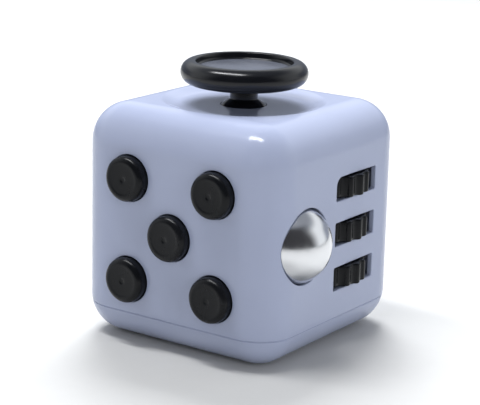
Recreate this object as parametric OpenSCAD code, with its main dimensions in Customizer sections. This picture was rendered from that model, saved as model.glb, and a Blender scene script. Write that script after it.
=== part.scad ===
// Six-sided fidget cube: a rounded case whose faces carry five buttons, three wheels and a
// pressable ball, a rocker, a turning dial, a joystick and a thumb dish in the bottom cover.
// +Z is up, the origin is the middle of the bottom face, and the buttons look along -Y.

/* [Case] */
// Edge length of the cube
cube_side = 33; // [33:0.25:34]
// Radius of the rounded outer edges
edge_r = 5.5; // [5.25:0.25:5.75]
// Thickness of the case walls
wall = 1.8; // [1.8:0.05:1.9]
// Height of the joint line between the case and its bottom cover
seam_z = 4.5; // [4.25:0.25:4.75]

/* [Buttons] */
// Radius of a button cap
button_r = 3.15; // [3:0.05:3.4]
// Distance of the corner buttons from the middle of the face, each way
button_pitch = 7.15; // [7.05:0.05:7.25]
// How far a button stands out of the face
button_proud = 1.5; // [1:0.1:2]
// How far a button can be pressed
button_travel = 0.8; // [0.6:0.1:0.8]

/* [Wheels and ball] */
// Radius of a wheel over its ribs
wheel_r = 5.6; // [5.4:0.1:5.6]
// How far a wheel stands out of the face
wheel_proud = 1.05; // [0.9:0.05:1.1]
// Distance between neighbouring wheels
wheel_pitch = 6.35; // [6.35:0.05:6.4]
// Number of ribs round a wheel
wheel_ribs = 16; // [14:1:18]
// Radius of the steel ball
ball_r = 5.5; // [5.4:0.1:5.5]
// How far the ball's middle lies behind the face
ball_depth = 2.45; // [2.4:0.05:2.6]
// How far the ball can be pressed
ball_travel = 0.9; // [0.6:0.1:0.9]

/* [Joystick] */
// Radius of the thumb disc
disc_r = 8.9; // [8.6:0.05:8.9]
// Thickness of the thumb disc at its rim
disc_h = 3.2; // [2.8:0.1:3.2]
// Height of the disc's middle plane above the top face
disc_rise = 3.85; // [3.85:0.05:4.5]
// Radius of the stem
stem_r = 1.95; // [1.8:0.05:2]

/* [Rocker] */
// Width of the rocker across its pin
rocker_w = 6.4; // [6:0.1:6.4]
// Half the length of the rocker
rocker_reach = 5.5; // [5.2:0.1:5.5]
// Tilt of the rocker from its level position to either stop
rocker_tilt = 10; // [8:1:10]

/* [Dial] */
// Radius of the dial
dial_r = 7.5; // [7:0.1:7.6]
// How far the dial stands out of the face
dial_proud = 1.2; // [1:0.1:1.4]
// How far the dial's finger nub stands out of the face
nub_proud = 3; // [2.8:0.1:3.1]

/* [Hidden] */
$fn = 64;
eps = 0.01;

// Case
half = cube_side / 2;
inner = half - wall;
cavity_chamfer = 2.2;
cavity_floor = wall;
overlap = 0.1;
post_place = inner - 2;
post_r = 1.6;
post_top = seam_z + 3.5;
peg_r = 0.8;
peg_h = 3;
rib_w = 0.85;
rib_l = 12;
rib_h = 1;
fit_gap = 0.05;
dish_r = 9;
dish_depth = 2;
dish_wall = 1.8;

// Screws, all alike
screw_r = 0.65;
screw_l = 3;
screw_head_r = 1.3;
screw_head_h = 0.8;
pilot_l = 2.4;
clear_r = 0.8;
boss_r = 1.6;
boss_h = 2.5;
tab_t = 1.2;

// Buttons, measured outwards from the front face
button_gap = 0.1;
button_soft = 0.8;
button_places = [[-1, 1], [1, 1], [0, 0], [-1, -1], [1, -1]];
flange_r = 3.9;
flange_h = 0.7;
flange_w = -wall - fit_gap;
plunger_r = 1.3;
plunger_l = 0.9;
plunger_w = flange_w - flange_h - plunger_l;
dome_r = 2.9;
dome_h = button_travel + 0.1;
dome_t = 0.15;
dome_w = plunger_w - fit_gap;
carrier_w = dome_w - dome_h;
carrier_t = tab_t;
carrier_half = 10.9;
carrier_corner = 3.4;
dome_rim = 0.5;
carrier_screw_places = [[0, 1.2], [0, -1.2], [-1.2, 0]];

// Wheels, in the frame of the right face
wheel_y = 3.9;
wheel_w = wheel_proud - wheel_r;
wheel_h = 2.9;
wheel_valley = 0.45;
wheel_hub_r = 2;
wheel_clear = 0.3;
axle_r = 0.75;
axle_play = 0.07;
window_l = 10;
window_h = 3.3;
window_round = 1.2;
arm_h = 1.1;
arm_z = 1.5 * wheel_pitch + 0.05;
arm_w = 2.3;
bracket_side = wheel_y + wheel_r + 0.3;
bracket_t = 1.1;
bracket_tab_w = -wall - 2.3;
bracket_screw_y = bracket_side + 2.8;
bracket_tab = 4.3;
bracket_tab_h = 3.2;
arm_reach = 1.7;
bracket_screw_z = 6.2;

// Ball and its sprung seat, in the frame of the right face
ball_y = -8.2;
ball_gap = 0.1;
ball_hole_r = ball_r - 0.25;
sleeve_r = ball_r + ball_gap + 1;
sleeve_back = -6.1;
seat_r = 3.5;
seat_w = -9.6;
seat_rim_w = -6.9;
retainer_t = 1.9;
retainer_step = 0.4;
retainer_left = 2.6;
retainer_l = 8.4;
retainer_ear_r = 1.7;
tube_r = 4.2;
tube_back = seat_w - ball_travel - 2;
tube_floor = 0.8;
ball_screw_y = ball_y + 1.2;
ball_screw_z = 8.1;
ball_spring_r = 2.6;
thin_wire = 0.15;

// Joystick, heights measured from the bottom face
pivot_z = cube_side - 4;
knuckle_r = 4.55;
socket_r = knuckle_r + 0.1;
knuckle_cut = 1;
top_pan_r = 9.4;
top_pan_slope = 2;
top_pan_depth = 0.7;
disc_z = cube_side + disc_rise;
disc_recess_r = 6.8;
disc_recess = 0.95;
disc_hub_r = 2.9;
disc_web = 0.3;
neck_r = 1.6;
foot_r = 2.4;
foot_h = 0.8;
foot_z = pivot_z - 5;
stem_top = disc_z + 0.15;
stick_pin_r = 0.45;
stick_pin_play = 0.05;
ring_r = 6.2;
ring_bore = 4.9;
ring_h = 1.9;
trunnion_r = 0.7;
trunnion_l = 1.8;
base_r = 8.3;
base_bore = 6.6;
base_floor_z = pivot_z - 2.8;
base_floor = 0.7;
base_top = cube_side - wall - fit_gap;
cup_r = 4.6;
cup_bore = 3.8;
cup_z = foot_z - 3.5;
cup_floor = 0.8;
ear_place = 7;
ear_r = 1.9;
ear_z = pivot_z - 2;
stick_boss_z = ear_z + tab_t;

// Rocker, in the frame of the back face
rocker_pivot_w = -3.3;
rocker_gap = 0.15;
rocker_window = 6.5;
rocker_crest = 0.9;
rocker_middle = 0.1;
rocker_under = -2.3;
rocker_hub_r = 2;
rocker_tail_r = 1.9;
rocker_tail = -3.6;
rocker_pin_r = 0.75;
rocker_pin_play = 0.06;
plunger_bore = 1.2;
rocker_plunger_r = 1.15;
plunger_top = -2.6;
plunger_tip = -5.2;
rocker_ear = 1;
rocker_back_w = -10.1;
rocker_back_t = 1.5;
rocker_back_z = 5.9;
rocker_stop = 1.2;
rocker_stop_w = -3.5;
rocker_tab_x = 6.9;
rocker_tab_z = 1.8;
rocker_tab_l = 5;
rocker_ear_h = 4.8;
rocker_spring_r = 0.85;

// Dial, in the frame of the left face
dial_recess = 0.9;
dial_gap = 0.2;
dial_shaft_r = 2.5;
dial_bore_play = 0.06;
dial_boss_r = 4.4;
dial_boss = 1.5;
dial_end = -wall - dial_boss - 0.3;
nub_r = 1.8;
nub_place = 4.4;
washer_r = 3.2;
washer_t = 0.5;
dial_screw_r = 0.8;
dial_screw_head = 2;
dial_screw_h = 1;
click_place = 5.6;
click_r = 1.05;
click_w = -1.05;
click_bore = 1.1;
click_boss_r = 2.1;
click_boss = 3.5;
click_stops = 12;
click_spring_r = 0.75;
dial_grip = 0.5;

// Coil springs
spring_sides = 6;
spring_steps = 12;

case_colour = [0.66, 0.69, 0.78];
black = [0.1, 0.1, 0.11];
grey = [0.45, 0.46, 0.48];
steel = [0.78, 0.79, 0.81];
silicone = [0.85, 0.84, 0.8];

// Places children in the frame of a side face: X to the right, Y up, Z out of the face.
// The turn is 0 for the front, 90 for the right, 180 for the back and 270 for the left face.
module on_face(turn)
    translate([0, 0, half])
        rotate([90, 0, turn])
            translate([0, 0, half])
                children();

module rounded_cube()
    hull()
        for (x = [-1, 1], y = [-1, 1], z = [-1, 1])
            translate([0, 0, half] + (half - edge_r) * [x, y, z])
                sphere(r = edge_r, $fn = 48);

module chamfered_prism(h, c)
    linear_extrude(2 * h, center = true)
        polygon([[h, h - c], [h - c, h], [c - h, h], [-h, h - c],
                 [-h, c - h], [c - h, -h], [h - c, -h], [h, c - h]]);

module cavity()
    translate([0, 0, half])
        intersection() {
            chamfered_prism(inner, cavity_chamfer);
            rotate([90, 0, 0])
                chamfered_prism(inner, cavity_chamfer);
            rotate([0, 90, 0])
                chamfered_prism(inner, cavity_chamfer);
        }

// Shallow spherical hollow of the given rim radius and depth, below the plane z = 0
module hollow(r, depth) {
    sphere_r = (r * r + depth * depth) / (2 * depth);
    rotate_extrude()
        intersection() {
            translate([0, sphere_r - depth])
                circle(r = sphere_r, $fn = 720);
            translate([0, -depth - 1])
                square([r, depth + 1.5]);
        }
}

module tube(r, bore, h)
    difference() {
        cylinder(r = r, h = h);
        translate([0, 0, -1])
            cylinder(r = bore, h = h + 2);
    }

// Round wire wound into a coil of the given middle radius, standing on z = 0
module coil(r, wire, height, turns) {
    last = spring_steps * turns;
    rise = (height - 2 * wire) / last;
    rings = [
        for (i = [0 : last], j = [0 : spring_sides - 1])
            let (a = 360 * i / spring_steps, b = -360 * j / spring_sides, reach = r + wire * cos(b))
                [reach * cos(a), reach * sin(a), wire + rise * i + wire * sin(b)]
    ];
    skin = [
        for (i = [0 : last - 1], j = [0 : spring_sides - 1])
            let (k = (j + 1) % spring_sides, a = i * spring_sides, b = a + spring_sides)
                [a + j, b + j, b + k, a + k]
    ];
    start = [for (j = [0 : spring_sides - 1]) j];
    end = [for (j = [spring_sides - 1 : -1 : 0]) last * spring_sides + j];
    polyhedron(points = rings, faces = concat([start], skin, [end]));
}

// Pan-head screw whose shank runs along +Z from the underside of its head
module screw(r, l, head_r, head_h)
    difference() {
        union() {
            translate([0, 0, -head_h / 2])
                cylinder(r = r, h = l + head_h / 2);
            translate([0, 0, -head_h])
                cylinder(r = head_r, h = head_h);
        }
        for (turn = [0, 90])
            rotate([0, 0, turn])
                translate([0, 0, -head_h])
                    cube([1.4 * head_r, 0.3 * head_r, head_h], center = true);
    }

module assembly_screw()
    screw(screw_r, screw_l, screw_head_r, screw_head_h);

module boss_bore(l)
    cylinder(r = screw_r, h = l);

// Places one child at each screw of a group, with +Z pointing into the case's boss
module at_carrier_screws()
    on_face(0)
        for (p = carrier_screw_places)
            translate([p[0] * button_pitch, p[1] * button_pitch, carrier_w - carrier_t])
                children();

module at_bracket_screws()
    on_face(90)
        for (s = [-1, 1])
            translate([bracket_screw_y, s * bracket_screw_z, bracket_tab_w - bracket_t])
                children();

module at_ball_screws()
    on_face(90)
        for (s = [-1, 1])
            translate([ball_screw_y, s * ball_screw_z, sleeve_back - tab_t])
                children();

module at_rocker_screws()
    on_face(180)
        for (s = [-1, 1])
            translate([s * rocker_tab_x, 0, -wall - boss_h - tab_t])
                children();

module at_joystick_screws()
    for (x = [-1, 1], y = [-1, 1])
        translate([x * ear_place, y * ear_place, ear_z])
            children();

module button_hole(p)
    translate([p[0] * button_pitch, p[1] * button_pitch, -wall - 1])
        cylinder(r = button_r + button_gap, h = wall + 2);

// Opening of one wheel; the upper one has a rounded corner beside the ball
module wheel_window(rounded) {
    left = wheel_y - window_l / 2;
    difference() {
        translate([left, -window_h / 2, -wall - 1])
            cube([window_l, window_h, wall + 2]);
        if (rounded)
            translate([left, window_h / 2 - window_round, -wall - 2])
                difference() {
                    translate([-1, 0, 0])
                        cube([window_round + 1, window_round + 1, wall + 4]);
                    translate([window_round, 0, -1])
                        cylinder(r = window_round, h = wall + 6);
                }
    }
    translate([wheel_y, 0, wheel_w])
        rotate([90, 0, 0])
            cylinder(r = wheel_r + wheel_clear, h = window_h, center = true);
}

// Solid lumps inside the case, before it is bored
module case_lumps() {
    front_boss = carrier_w + wall;
    on_face(0)
        for (p = carrier_screw_places)
            translate([p[0] * button_pitch, p[1] * button_pitch, carrier_w])
                cylinder(r = boss_r, h = -front_boss + overlap);
    on_face(90) {
        translate([ball_y, 0, sleeve_back])
            cylinder(r = sleeve_r, h = -sleeve_back - wall + overlap);
        for (s = [-1, 1]) {
            translate([ball_screw_y, s * ball_screw_z, sleeve_back])
                cylinder(r = boss_r, h = -sleeve_back - wall + overlap);
            translate([bracket_screw_y, s * bracket_screw_z, bracket_tab_w])
                cylinder(r = boss_r, h = -bracket_tab_w - wall + overlap);
        }
    }
    on_face(180)
        for (s = [-1, 1])
            translate([s * rocker_tab_x, 0, -wall - boss_h])
                cylinder(r = boss_r, h = boss_h + overlap);
    on_face(270) {
        translate([0, 0, -wall - dial_boss])
            cylinder(r = dial_boss_r, h = dial_boss + overlap);
        translate([0, click_place, -wall - click_boss])
            cylinder(r = click_boss_r, h = click_boss + overlap);
    }
    for (x = [-1, 1], y = [-1, 1]) {
        translate([x * ear_place, y * ear_place, stick_boss_z])
            cylinder(r = boss_r, h = cube_side - wall - stick_boss_z + overlap);
        translate([x * post_place, y * post_place, seam_z])
            cylinder(r = post_r, h = post_top - seam_z);
    }
}

// Everything that is cut out of the case and its lumps
module case_cuts() {
    on_face(0)
        for (p = button_places)
            button_hole(p);
    on_face(90) {
        translate([ball_y, 0, -ball_depth])
            sphere(r = ball_r + ball_gap);
        translate([ball_y, 0, -ball_depth])
            cylinder(r = ball_hole_r, h = ball_depth + 2);
        translate([ball_y, 0, sleeve_back - 1])
            cylinder(r = ball_r + ball_gap, h = -ball_depth - sleeve_back + 1);
        for (i = [-1 : 1])
            translate([0, i * wheel_pitch, 0])
                wheel_window(i == 1);
    }
    on_face(180)
        translate([0, 0, -wall / 2])
            cube([rocker_w + 2 * rocker_gap, 2 * rocker_window, wall + 2], center = true);
    on_face(270) {
        translate([0, 0, -dial_recess])
            cylinder(r = dial_r + dial_gap, h = dial_recess + 1);
        translate([0, 0, -wall - dial_boss - 1])
            cylinder(r = dial_shaft_r + dial_bore_play, h = wall + dial_boss + 2);
        translate([0, click_place, -wall - click_boss + 0.7])
            cylinder(r = click_bore, h = click_boss + wall);
    }
    translate([0, 0, cube_side - top_pan_depth])
        cylinder(r1 = top_pan_r, r2 = top_pan_r + 2 * top_pan_slope, h = 2 * top_pan_depth);
    translate([0, 0, pivot_z])
        sphere(r = socket_r);
    for (x = [-1, 1], y = [-1, 1])
        translate([x * post_place, y * post_place, seam_z - 1])
            cylinder(r = peg_r, h = peg_h + 1.2);
    at_carrier_screws()
        boss_bore(carrier_t + pilot_l - 0.3);
    at_bracket_screws()
        boss_bore(bracket_t + pilot_l - 0.3);
    at_ball_screws()
        boss_bore(tab_t + pilot_l);
    at_rocker_screws()
        boss_bore(tab_t + pilot_l - 0.3);
    at_joystick_screws()
        boss_bore(tab_t + pilot_l);
}

module main_shell()
    color(case_colour)
        difference() {
            union() {
                difference() {
                    rounded_cube();
                    cavity();
                }
                case_lumps();
            }
            case_cuts();
            translate([-half - 1, -half - 1, -1])
                cube([cube_side + 2, cube_side + 2, seam_z + 1]);
        }

// Lower tray of the case, with a thumb dish in its flat underside
module bottom_cover()
    color(case_colour)
        difference() {
            union() {
                difference() {
                    rounded_cube();
                    cavity();
                    translate([-half - 1, -half - 1, seam_z])
                        cube([cube_side + 2, cube_side + 2, cube_side]);
                }
                cylinder(r = dish_r + 0.6, h = dish_depth + dish_wall);
                for (x = [-1, 1], y = [-1, 1])
                    translate([x * post_place, y * post_place, wall - overlap]) {
                        cylinder(r = post_r, h = seam_z - wall + overlap);
                        cylinder(r = peg_r, h = seam_z - wall + overlap + peg_h);
                    }
                for (turn = [0 : 90 : 270])
                    rotate([0, 0, turn]) {
                        translate([-rib_l / 2, inner - fit_gap - rib_w, cavity_floor])
                            cube([rib_l, rib_w, seam_z + rib_h - cavity_floor]);
                        translate([-rib_l / 2, inner - fit_gap - rib_w, cavity_floor])
                            cube([rib_l, rib_w + overlap + fit_gap, seam_z - cavity_floor]);
                    }
            }
            rotate([180, 0, 0])
                hollow(dish_r, dish_depth);
        }

// Round cap with a rounded front edge, a stop flange behind the wall and a short plunger
module button(i) {
    p = button_places[i];
    color(black)
        on_face(0)
            translate([p[0] * button_pitch, p[1] * button_pitch, 0]) {
                rotate_extrude() {
                    translate([0, flange_w - eps])
                        square([button_r, button_proud - button_soft - flange_w + eps]);
                    translate([0, button_proud - button_soft - eps])
                        square([button_r - button_soft, button_soft + eps]);
                    intersection() {
                        translate([button_r - button_soft, button_proud - button_soft])
                            circle(r = button_soft);
                        translate([0, button_proud - button_soft - eps])
                            square([button_r + 1, button_soft + 1]);
                    }
                }
                translate([0, 0, flange_w - flange_h])
                    cylinder(r = flange_r, h = flange_h);
                translate([0, 0, plunger_w])
                    cylinder(r = plunger_r, h = plunger_l + eps);
            }
}

// Thin metal dome under a clicking button
module snap_dome(i) {
    p = button_places[i];
    sphere_r = (dome_r * dome_r + dome_h * dome_h) / (2 * dome_h);
    color(steel)
        on_face(0)
            translate([p[0] * button_pitch, p[1] * button_pitch, carrier_w])
                rotate_extrude()
                    difference() {
                        intersection() {
                            translate([0, dome_h - sphere_r])
                                circle(r = sphere_r, $fn = 180);
                            square([dome_r, dome_h]);
                        }
                        translate([0, dome_h - sphere_r])
                            circle(r = sphere_r - dome_t, $fn = 180);
                    }
}

// Soft pad under a silent button
module silicone_pad(i) {
    p = button_places[i];
    color(silicone)
        on_face(0)
            translate([p[0] * button_pitch, p[1] * button_pitch, carrier_w]) {
                cylinder(r = dome_r, h = dome_h / 2);
                cylinder(r = dome_r / 2, h = dome_h);
            }
}

// Plate behind the buttons, with a low rim round each dome and room for the ball's tube
module button_carrier()
    color(grey)
        difference() {
            on_face(0)
                difference() {
                    union() {
                        translate([-carrier_half, -carrier_half, carrier_w - carrier_t])
                            cube([2 * carrier_half, 2 * carrier_half, carrier_t]);
                        for (p = button_places)
                            translate([p[0] * button_pitch, p[1] * button_pitch, carrier_w - eps])
                                tube(dome_r + dome_rim, dome_r + fit_gap, dome_h - 0.1);
                    }
                    for (x = [-1, 1], y = [-1, 1])
                        translate([x * carrier_half, y * carrier_half, carrier_w])
                            rotate([0, 0, 45])
                                cube([carrier_corner, carrier_corner, 4 * carrier_t], center = true);
                }
            on_face(90) {
                translate([ball_y, 0, sleeve_back - 0.5])
                    cylinder(r = sleeve_r + 0.3, h = -sleeve_back);
                translate([ball_y, 0, tube_back - 0.3])
                    cylinder(r = tube_r + 0.4, h = -tube_back);
            }
            at_carrier_screws()
                translate([0, 0, -1])
                    cylinder(r = clear_r, h = carrier_t + 2);
        }

// Ribbed thumb wheel with a long hub that spaces it from its neighbours
module wheel(i)
    color(black)
        on_face(90)
            translate([wheel_y, (1 - i) * wheel_pitch, wheel_w])
                rotate([90, 0, 0])
                    difference() {
                        union() {
                            linear_extrude(wheel_h, center = true)
                                union() {
                                    circle(r = wheel_r - wheel_valley);
                                    for (k = [0 : wheel_ribs - 1])
                                        rotate(360 * k / wheel_ribs)
                                            translate([wheel_r - wheel_valley - 0.1, 0])
                                                circle(r = wheel_valley + 0.1, $fn = 24);
                                }
                            cylinder(r = wheel_hub_r, h = wheel_pitch - fit_gap, center = true);
                        }
                        cylinder(r = axle_r + axle_play, h = 2 * wheel_pitch, center = true);
                    }

module wheel_axle()
    color(steel)
        on_face(90)
            translate([wheel_y, 0, wheel_w])
                rotate([90, 0, 0])
                    cylinder(r = axle_r, h = 2 * (arm_z + arm_h), center = true);

// C-shaped frame that holds both ends of the axle, beside the wheels
module wheel_bracket()
    color(grey)
        difference() {
            on_face(90) {
                for (s = [-1, 1])
                    translate([wheel_y - arm_reach, s * (arm_z + arm_h / 2) - arm_h / 2,
                               wheel_w - arm_w])
                        cube([bracket_side + bracket_t - wheel_y + arm_reach, arm_h, 2 * arm_w]);
                translate([bracket_side, -arm_z - arm_h, wheel_w - arm_w])
                    cube([bracket_t, 2 * (arm_z + arm_h), 2 * arm_w]);
                for (s = [-1, 1])
                    translate([bracket_side, s * bracket_screw_z - bracket_tab_h / 2,
                               bracket_tab_w - bracket_t])
                        cube([bracket_tab, bracket_tab_h, bracket_t]);
            }
            on_face(90)
                translate([wheel_y, 0, wheel_w])
                    rotate([90, 0, 0])
                        cylinder(r = axle_r, h = cube_side, center = true);
            at_bracket_screws()
                translate([0, 0, -1])
                    cylinder(r = clear_r, h = bracket_t + 2);
        }

module steel_ball()
    color(steel)
        on_face(90)
            translate([ball_y, 0, -ball_depth])
                sphere(r = ball_r);

// Cup that presses on the back of the ball
module ball_seat()
    color(grey)
        on_face(90)
            translate([ball_y, 0, 0])
                difference() {
                    translate([0, 0, seat_w])
                        cylinder(r = seat_r, h = seat_rim_w - seat_w);
                    translate([0, 0, -ball_depth])
                        sphere(r = ball_r + fit_gap);
                }

module ball_spring()
    color(steel)
        on_face(90)
            translate([ball_y, 0, tube_back + tube_floor + fit_gap])
                coil(ball_spring_r, thin_wire, seat_w - tube_back - tube_floor - 2 * fit_gap, 3);

// Back of the ball's sleeve: a tube that guides the seat, on a plate with two screw ears
module ball_retainer()
    color(grey)
        difference() {
            on_face(90)
                difference() {
                    union() {
                        intersection() {
                            translate([ball_y, 0, sleeve_back - retainer_t])
                                cylinder(r = sleeve_r, h = retainer_t);
                            translate([ball_y - retainer_left, -half, -half])
                                cube([retainer_l, cube_side, cube_side]);
                        }
                        translate([ball_y, 0, tube_back])
                            cylinder(r = tube_r, h = sleeve_back - retainer_t - tube_back + retainer_step);
                        for (s = [-1, 1])
                            translate([ball_screw_y, s * ball_screw_z, sleeve_back - tab_t])
                                cylinder(r = retainer_ear_r, h = tab_t);
                    }
                    translate([ball_y, 0, tube_back + tube_floor])
                        cylinder(r = seat_r + fit_gap, h = half);
                    translate([ball_y, 0, sleeve_back - retainer_t + retainer_step])
                        cylinder(r = ball_r - 0.5, h = half);
                }
            at_ball_screws()
                translate([0, 0, -1])
                    cylinder(r = clear_r, h = tab_t + 2);
        }

// Thumb disc with a half-round rim and a flat recess in its top
module joystick_cap()
    color(black)
        difference() {
            translate([0, 0, disc_z])
                rotate_extrude() {
                    translate([disc_r - disc_h / 2, 0])
                        circle(r = disc_h / 2);
                    translate([0, disc_web - disc_h / 2])
                        square([disc_r - disc_h / 2, disc_h - 2 * disc_web]);
                    translate([0, -disc_web - disc_h / 2])
                        square([disc_hub_r, disc_h / 2]);
                }
            translate([0, 0, disc_z + disc_h / 2 - disc_recess])
                cylinder(r = disc_recess_r, h = disc_h);
            translate([0, 0, disc_z - disc_h])
                cylinder(r = stem_r, h = stem_top - disc_z + disc_h);
        }

// Stem with the knuckle that fills the case's round socket, and the foot below it
module joystick_stem()
    color(black)
        difference() {
            union() {
                translate([0, 0, pivot_z])
                    cylinder(r = stem_r, h = stem_top - pivot_z);
                intersection() {
                    translate([0, 0, pivot_z])
                        sphere(r = knuckle_r);
                    translate([-half, -half, pivot_z - knuckle_cut])
                        cube([cube_side, cube_side, cube_side]);
                }
                translate([0, 0, foot_z + foot_h / 2])
                    cylinder(r = neck_r, h = pivot_z - foot_z - foot_h / 2);
                translate([0, 0, foot_z])
                    cylinder(r = foot_r, h = foot_h);
            }
            translate([0, 0, pivot_z])
                rotate([90, 0, 0])
                    cylinder(r = stick_pin_r, h = cube_side, center = true);
        }

module joystick_pin()
    color(steel)
        translate([0, 0, pivot_z])
            rotate([90, 0, 0])
                cylinder(r = stick_pin_r, h = 2 * ring_r - 0.2, center = true);

// Ring that tips about X on two trunnions and carries the stem's pin along Y
module gimbal_ring()
    color(grey)
        translate([0, 0, pivot_z])
            difference() {
                union() {
                    cylinder(r = ring_r, h = ring_h, center = true);
                    rotate([0, 90, 0])
                        cylinder(r = trunnion_r, h = 2 * (ring_r + trunnion_l), center = true);
                }
                cylinder(r = ring_bore, h = 2 * ring_h, center = true);
                rotate([90, 0, 0])
                    cylinder(r = stick_pin_r + stick_pin_play, h = cube_side, center = true);
            }

// Housing under the top wall: bearings for the gimbal ring, and a cup for the spring
module joystick_base()
    color(grey)
        difference() {
            union() {
                translate([0, 0, base_floor_z])
                    cylinder(r = base_r, h = base_top - base_floor_z);
                translate([0, 0, cup_z])
                    cylinder(r = cup_r, h = base_floor_z - cup_z + overlap);
                at_joystick_screws()
                    cylinder(r = ear_r, h = tab_t);
            }
            translate([0, 0, base_floor_z + base_floor])
                cylinder(r = base_bore, h = half);
            translate([0, 0, cup_z + cup_floor])
                cylinder(r = cup_bore, h = half);
            translate([0, 0, pivot_z]) {
                rotate([0, 90, 0])
                    cylinder(r = trunnion_r + 0.06, h = cube_side, center = true);
                translate([-half, -trunnion_r - 0.06, 0])
                    cube([cube_side, 2 * trunnion_r + 0.12, half]);
            }
            for (x = [-1, 1], y = [-1, 1])
                translate([x * ear_place, y * ear_place, stick_boss_z])
                    cylinder(r = boss_r + 0.1, h = half);
            at_joystick_screws()
                translate([0, 0, -1])
                    cylinder(r = clear_r, h = tab_t + 2);
            at_joystick_screws()
                translate([0, 0, -2])
                    cylinder(r = screw_head_r + 0.1, h = 2);
        }

module joystick_spring()
    color(steel)
        translate([0, 0, cup_z + cup_floor + fit_gap])
            coil(2.1, 0.2, foot_z - cup_z - cup_floor - 2 * fit_gap, 4);

// Side outline of the rocker in its level position: X along the face, Y out of the case
module rocker_outline() {
    crest = rocker_crest - rocker_pivot_w;
    middle = rocker_middle - rocker_pivot_w;
    under = rocker_under - rocker_pivot_w;
    polygon([[-rocker_reach, under], [rocker_reach, under], [rocker_reach, crest - 0.3],
             [rocker_reach - 0.3, crest], [0, middle], [0.3 - rocker_reach, crest],
             [-rocker_reach, crest - 0.3]]);
    circle(r = rocker_hub_r);
}

// Places children in the rocker's own level frame at its rest tilt: X across, Y up, Z out
module rocker_frame()
    on_face(180)
        translate([0, 0, rocker_pivot_w])
            rotate([rocker_tilt, 0, 0])
                children();

module rocker()
    color(black)
        rocker_frame()
            difference() {
                union() {
                    rotate([90, 0, 90])
                        linear_extrude(rocker_w, center = true)
                            rocker_outline();
                    translate([0, 0, rocker_tail])
                        cylinder(r = rocker_tail_r, h = -rocker_tail);
                }
                rotate([0, 90, 0])
                    cylinder(r = rocker_pin_r + rocker_pin_play, h = cube_side, center = true);
                translate([0, 0, rocker_tail - 1])
                    cylinder(r = plunger_bore, h = 1 - rocker_tail - rocker_pin_r - 0.35);
            }

module rocker_pin()
    color(steel)
        on_face(180)
            translate([0, 0, rocker_pivot_w])
                rotate([0, 90, 0])
                    cylinder(r = rocker_pin_r, h = rocker_w + 2 * (rocker_gap + rocker_ear),
                             center = true);

module rocker_plunger()
    color(steel)
        rocker_frame() {
            translate([0, 0, plunger_tip + rocker_plunger_r])
                cylinder(r = rocker_plunger_r, h = plunger_top - plunger_tip - rocker_plunger_r);
            translate([0, 0, plunger_tip + rocker_plunger_r])
                intersection() {
                    sphere(r = rocker_plunger_r);
                    translate([0, 0, -rocker_plunger_r])
                        cube(2 * rocker_plunger_r + 1, center = true);
                }
        }

module rocker_spring()
    color(steel)
        rocker_frame()
            translate([0, 0, plunger_top + 0.02])
                coil(rocker_spring_r, thin_wire, -plunger_top - rocker_pin_r - 0.4, 2);

// Cradle behind the rocker: two ears for the pin, a round track for the plunger, two stops
module rocker_bracket()
    color(grey)
        difference() {
            on_face(180) {
                ear_x = rocker_w / 2 + rocker_gap;
                for (s = [-1, 1]) {
                    translate([s * (ear_x + rocker_ear / 2) - rocker_ear / 2, -rocker_ear_h / 2,
                               rocker_back_w])
                        cube([rocker_ear, rocker_ear_h, -wall - fit_gap - rocker_back_w]);
                    translate([s * (ear_x + rocker_tab_l / 2) - rocker_tab_l / 2, -rocker_tab_z,
                               -wall - boss_h - tab_t])
                        cube([rocker_tab_l, 2 * rocker_tab_z, tab_t]);
                    translate([-rocker_tab_l / 2, s * (rocker_back_z - rocker_stop / 2) - rocker_stop / 2,
                               rocker_back_w])
                        cube([rocker_tab_l, rocker_stop, rocker_stop_w - rocker_back_w]);
                }
                translate([-ear_x - rocker_ear, -rocker_back_z, rocker_back_w])
                    cube([2 * (ear_x + rocker_ear), 2 * rocker_back_z, rocker_back_t]);
            }
            on_face(180)
                translate([0, 0, rocker_pivot_w])
                    rotate([0, 90, 0]) {
                        cylinder(r = rocker_pin_r, h = cube_side, center = true);
                        cylinder(r = 0.1 - plunger_tip, h = 2 * rocker_plunger_r + 0.4,
                                 center = true);
                    }
            at_rocker_screws()
                translate([0, 0, -1])
                    cylinder(r = clear_r, h = tab_t + 2);
        }

// Turning dial with a finger nub, a shaft through the wall and a ring of click pockets
module dial() {
    back = -dial_recess + fit_gap;
    color(black)
        on_face(270)
            difference() {
                union() {
                    translate([0, 0, back])
                        cylinder(r = dial_r, h = dial_proud - back - dial_grip);
                    translate([0, 0, back])
                        cylinder(r = dial_r - dial_grip, h = dial_proud - back);
                    translate([0, 0, dial_end])
                        cylinder(r = dial_shaft_r, h = back - dial_end + overlap);
                    translate([0, nub_place, 0])
                        cylinder(r = nub_r, h = nub_proud);
                }
                translate([0, 0, click_w])
                    rotate_extrude()
                        translate([click_place, 0])
                            circle(r = click_r + fit_gap);
                for (k = [0 : click_stops - 1])
                    rotate([0, 0, 360 * k / click_stops])
                        translate([0, click_place, back - 1])
                            cylinder(r = click_r + 0.2, h = 1 + click_r + 0.2 + click_w - back);
                translate([0, 0, dial_end - 1])
                    cylinder(r = dial_screw_r, h = 4);
            }
}

module dial_washer()
    color(steel)
        on_face(270)
            translate([0, 0, dial_end - washer_t])
                tube(washer_r, dial_screw_r, washer_t);

module dial_screw()
    color(steel)
        on_face(270)
            translate([0, 0, dial_end - washer_t])
                screw(dial_screw_r, 3, dial_screw_head, dial_screw_h);

module dial_click_ball()
    color(steel)
        on_face(270)
            translate([0, click_place, click_w])
                sphere(r = click_r);

module dial_click_spring()
    color(steel)
        on_face(270)
            translate([0, click_place, -wall - click_boss + 0.75])
                coil(click_spring_r, thin_wire, click_w - click_r + wall + click_boss - 0.8, 4);

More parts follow.
